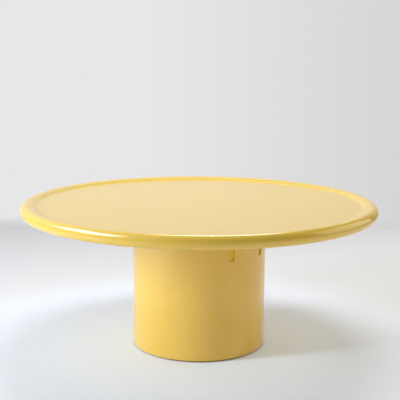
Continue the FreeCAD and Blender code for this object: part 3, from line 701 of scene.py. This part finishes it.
bm = bmesh.new()
start = pen_down(bm, FIELD_R, RIM_LOW)
tip = draw_line(bm, start, RIM_CREST_R, RIM_LOW)
tip = draw_arc(bm, tip, RIM_CREST_R, RIM_LOW + RIM_THICK / 2, -180, RIM_NOSE_STEPS)
tip = draw_arc(bm, tip, RIM_CREST_R, RIM_TOP - roll_r, -roll_degrees, RIM_ROLL_STEPS)
tip = draw_arc(bm, tip, RIM_FOOT_R, FIELD_TOP + RIM_HOLLOW_R, roll_degrees, RIM_HOLLOW_STEPS)
tip = draw_line(bm, tip, FIELD_R, FIELD_TOP)
close_section(bm, tip, start)
turn_on_lathe(bm, TOP_STEPS)
rim_segments = [f"rim_segment_{number}" for number in range(1, 9)]
new_piece("rim", bm, top_lacquer, "table", "lacquered_top", *rim_segments)
dress(bare_board, "rim_splines")

# Studio: the table stands on a pale floor that fades into a pale wall. A lamp on the left,
# one overhead and a tall warm one on the right light it. Screens on the left and above only
# show in the gloss, in which the front and the right of the room are dim.
FLOOR_HALF = 3.4
FLOOR_EDGE_FADE = 1.4
FLOOR_BACK = 1.95
FLOOR_BACK_FADE = 0.35
FLOOR_DULL = 0.9
FLOOR_GLOSS = 0.1
FLOOR_NEAR_FROM = 0.25
FLOOR_NEAR_TO = 0.90
FLOOR_UNDER_R = 0.96 * DRUM_R
FLOOR_OPEN_R = 1.02 * DRUM_R
FLOOR_PALE = (0.940, 0.940, 0.940, 1)
FLOOR_SEEN = (0.760, 0.770, 0.800, 1)
FLOOR_NEAR = (0.745, 0.830, 1.000, 1)
FLOOR_PAINTED_GLOW = 0.135
FLOOR_PAINTED_GLOW_TINT = (0.80, 1.00, 1.30, 1)
WALL_PALE = (0.80, 0.80, 0.81, 1)
WALL_SHADE = (0.655, 0.655, 0.66, 1)
WALL_SHADE_FROM = -0.06
WALL_SHADE_FULL = 0.27
BACK_LIGHT = 0.74
FRONT_LIGHT = 0.48
LEFT_LIGHT = 0.45
UPPER_LIGHT = 0.37
GLOW_FALLOFF = 2.0
MIRRORED_DIM = 0.4
MIRRORED_LEFT_LOW = 1.0
MIRRORED_LEFT_HIGH = 3.0
MIRRORED_LEFT_FROM = 0.20
MIRRORED_LEFT_FULL = 0.45
MIRRORED_BACK = 1.3
MIRRORED_BACK_TO = 0.05
MIRRORED_BACK_NONE = 0.30
MIRRORED_WALL_FROM = 0.75
MIRRORED_WALL_FULL = 0.95
SCREEN_MIDDLE = 0.5
SCREEN_FADE_FROM = 0.2
SCREEN_EDGE = 0.5
DAYLIGHT = (0.93, 1.00, 1.11)
NEUTRAL = (1.00, 1.00, 1.00)
WARM = (1.06, 0.97, 0.78)
FRONT_WARM = (1.06, 0.95, 0.52)

paper = bpy.data.materials.new("studio_floor")
paper.use_nodes = True
tree = paper.node_tree
shader = next(n for n in tree.nodes if n.type == "BSDF_PRINCIPLED")
place = node(tree, "ShaderNodeTexCoord").outputs["Object"]
shader.inputs["Roughness"].default_value = FLOOR_DULL
shader.inputs["Specular IOR Level"].default_value = FLOOR_GLOSS
shader.inputs["Emission Color"].default_value = FLOOR_PAINTED_GLOW_TINT


def fade(tree, value, start, end):
    """Falls smoothly from one to nothing between two values."""
    sockets = {"Value": value, "From Min": start, "From Max": end, "To Min": 1.0, "To Max": 0.0}
    return node(tree, "ShaderNodeMapRange", sockets, interpolation_type="SMOOTHSTEP").outputs["Result"]


def seen_rays(tree):
    """Masks of the rays that show a thing: straight or through glass, and in the gloss."""
    rays = node(tree, "ShaderNodeLightPath").outputs
    plain = maths(tree, "MAXIMUM", rays["Is Camera Ray"], rays["Is Transmission Ray"])
    return plain, rays["Is Glossy Ray"]


# Painted light: round the drum, where the yellow throws its colour, the floor is painted cooler to cancel
# that bounce. A painted glow also makes it a little brighter there. Both show only straight on and in the
# gloss, and not under the drum itself.
from_axis = node(tree, "ShaderNodeVectorMath", {0: place}, operation="LENGTH").outputs["Value"]
outside_drum = spread(tree, from_axis, FLOOR_UNDER_R, FLOOR_OPEN_R)
near_drum = fade(tree, from_axis, FLOOR_NEAR_FROM, FLOOR_NEAR_TO)
near_drum = maths(tree, "MULTIPLY", near_drum, outside_drum)
seen = maths(tree, "MAXIMUM", *seen_rays(tree))
paper_seen = mix_colours(tree, near_drum, FLOOR_SEEN, FLOOR_NEAR)
tree.links.new(mix_colours(tree, seen, FLOOR_PALE, paper_seen), shader.inputs["Base Color"])
# Painted glow: the floor near the drum gives off light of its own, though it is no lamp
lift = maths(tree, "MULTIPLY", maths(tree, "MULTIPLY", near_drum, FLOOR_PAINTED_GLOW), seen)
tree.links.new(lift, shader.inputs["Emission Strength"])

# It fades out towards its edges, and doesn't show from below
side, depth, _ = node(tree, "ShaderNodeSeparateXYZ", {0: place}).outputs
sideways = maths(tree, "ABSOLUTE", side)
forward = maths(tree, "MULTIPLY", depth, -1.0)
shown = fade(tree, depth, FLOOR_BACK - FLOOR_BACK_FADE, FLOOR_BACK)
for reach in (sideways, forward):
    inside_edge = fade(tree, reach, FLOOR_HALF - FLOOR_EDGE_FADE, FLOOR_HALF)
    shown = maths(tree, "MULTIPLY", shown, inside_edge)
from_below = node(tree, "ShaderNodeNewGeometry").outputs["Backfacing"]
from_above = maths(tree, "SUBTRACT", 1.0, from_below)
tree.links.new(maths(tree, "MULTIPLY", shown, from_above), shader.inputs["Alpha"])

bm = bmesh.new()
bmesh.ops.create_grid(bm, x_segments=1, y_segments=1, size=1)
bmesh.ops.scale(bm, vec=(FLOOR_HALF, (FLOOR_HALF + FLOOR_BACK) / 2, 1), verts=bm.verts[:])
bmesh.ops.translate(bm, vec=(0, (FLOOR_BACK - FLOOR_HALF) / 2, 0), verts=bm.verts[:])
mesh = bpy.data.meshes.new("studio_floor")
bm.to_mesh(mesh)
bm.free()
mesh.materials.append(paper)
floor = bpy.data.objects.new("studio_floor", mesh)
bpy.context.scene.collection.objects.link(floor)

world = bpy.data.worlds.new("studio")
bpy.context.scene.world = world
world.use_nodes = True
tree = world.node_tree
tree.nodes.clear()
heading = node(tree, "ShaderNodeTexCoord").outputs["Generated"]
across, back, up = node(tree, "ShaderNodeSeparateXYZ", {0: heading}).outputs


def glow(towards, sign, strength):
    """Light that comes mostly from one side of the room."""
    facing = maths(tree, "MAXIMUM", maths(tree, "MULTIPLY", towards, sign), 0.0)
    return maths(tree, "MULTIPLY", maths(tree, "POWER", facing, GLOW_FALLOFF), strength)


front = glow(back, -1.0, FRONT_LIGHT)
left = glow(across, -1.0, LEFT_LIGHT)
upper = glow(up, 1.0, UPPER_LIGHT)
rear = glow(back, 1.0, BACK_LIGHT)
plain_light = maths(tree, "ADD", maths(tree, "ADD", left, upper), rear)
sockets = {0: front, 1: FRONT_WARM, 2: plain_light}
lit_room = node(tree, "ShaderNodeVectorMath", sockets, operation="MULTIPLY_ADD").outputs[0]
shaded = spread(tree, across, WALL_SHADE_FROM, WALL_SHADE_FULL)
wall = mix_colours(tree, shaded, WALL_PALE, WALL_SHADE)

# In the gloss the room is bright on the left and behind, and dim elsewhere
left_ends = (MIRRORED_LEFT_FROM, MIRRORED_LEFT_FULL, MIRRORED_LEFT_LOW, MIRRORED_LEFT_HIGH)
left_gain = spread(tree, up, *left_ends)
rear_gain = spread(tree, across, MIRRORED_BACK_TO, MIRRORED_BACK_NONE, MIRRORED_BACK, 0.0)
dim_room = maths(tree, "MULTIPLY", maths(tree, "ADD", front, upper), MIRRORED_DIM)
dim_room = maths(tree, "MULTIPLY_ADD", left, left_gain, dim_room)
dim_room = maths(tree, "MULTIPLY_ADD", rear, rear_gain, dim_room)
wall_here = spread(tree, back, MIRRORED_WALL_FROM, MIRRORED_WALL_FULL)
mirrored_room = mix_colours(tree, wall_here, dim_room, wall)
plain, mirrored = seen_rays(tree)
room = mix_colours(tree, mirrored, lit_room, mirrored_room)
shell = node(tree, "ShaderNodeBackground", {"Color": mix_colours(tree, plain, room, wall)})
node(tree, "ShaderNodeOutputWorld", {"Surface": shell.outputs[0]})


def soft_lamp(name, centre, aim, wide, high, power, tint):
    """Rectangular soft lamp at a point, turned to face another."""
    light = bpy.data.lights.new(name, "AREA")
    light.color = tint
    light.shape = "RECTANGLE"
    light.size = wide
    light.size_y = high
    light.energy = power
    lamp = bpy.data.objects.new(name, light)
    lamp.location = centre
    lamp.rotation_euler = (Vector(aim) - Vector(centre)).to_track_quat("-Z", "Y").to_euler()
    bpy.context.scene.collection.objects.link(lamp)
    return lamp


def make_screen(lamp):
    """Makes a lamp show in the gloss alone, with a face that fades towards its edges."""
    lamp.visible_diffuse = False
    lamp.visible_camera = False
    lamp.data.use_nodes = True
    tree = lamp.data.node_tree
    face = node(tree, "ShaderNodeNewGeometry").outputs["Parametric"]
    shares = []
    for place in node(tree, "ShaderNodeSeparateXYZ", {0: face}).outputs[:2]:
        off_middle = maths(tree, "ABSOLUTE", maths(tree, "SUBTRACT", place, SCREEN_MIDDLE))
        shares.append(fade(tree, off_middle, SCREEN_FADE_FROM, SCREEN_EDGE))
    emission = next(n for n in tree.nodes if n.type == "EMISSION")
    tree.links.new(maths(tree, "MULTIPLY", *shares), emission.inputs["Strength"])


key_lamp = soft_lamp(
    "key_lamp",
    centre=(-2.16, -0.79, 1.05),
    aim=(0, 0, 0.3),
    wide=0.4,
    high=0.8,
    power=39.0,
    tint=DAYLIGHT,
)
key_lamp.visible_glossy = False
left_screen = soft_lamp(
    "left_screen",
    centre=(-2.03, -0.57, 1.95),
    aim=(0, 0.04, 1.95),
    wide=2.40,
    high=1.86,
    power=142.0,
    tint=DAYLIGHT,
)
make_screen(left_screen)
top_lamp = soft_lamp(
    "top_lamp",
    centre=(0.22, 0.55, 2.5),
    aim=(0.22, 0.55, 0),
    wide=1.35,
    high=0.85,
    power=30.5,
    tint=NEUTRAL,
)
top_lamp.visible_glossy = False
top_screen = soft_lamp(
    "top_screen",
    centre=(0.125, 0.28, 1.3),
    aim=(0.125, 0.28, 0),
    wide=0.98,
    high=0.56,
    power=15.5,
    tint=NEUTRAL,
)
make_screen(top_screen)
right_lamp = soft_lamp(
    "right_lamp",
    centre=(2.4, 0.45, 1.26),
    aim=(0, 0.45, 1.26),
    wide=2.5,
    high=1.85,
    power=20.0,
    tint=WARM,
)
right_lamp.visible_camera = False

# Camera: a short telephoto lens at the height of a seated viewer, straight in front of the
# table and tipped down a little, so that the field shows as a flat oval.
LENS_MM = 74.06
SENSOR_MM = 36
EYE = (0.00197, -2.30906, 0.80231)
LOOK_DOWN = math.radians(9.54)
ROLL = math.radians(0.36)

lens = bpy.data.cameras.new("camera")
lens.lens = LENS_MM
lens.sensor_width = SENSOR_MM
camera = bpy.data.objects.new("camera", lens)
camera.matrix_world = (
    Matrix.Translation(EYE)
    @ Matrix.Rotation(math.pi / 2 - LOOK_DOWN, 4, "X")
    @ Matrix.Rotation(ROLL, 4, "Z")
)
bpy.context.scene.collection.objects.link(camera)
bpy.context.scene.camera = camera
bpy.context.scene.view_settings.view_transform = "Standard"
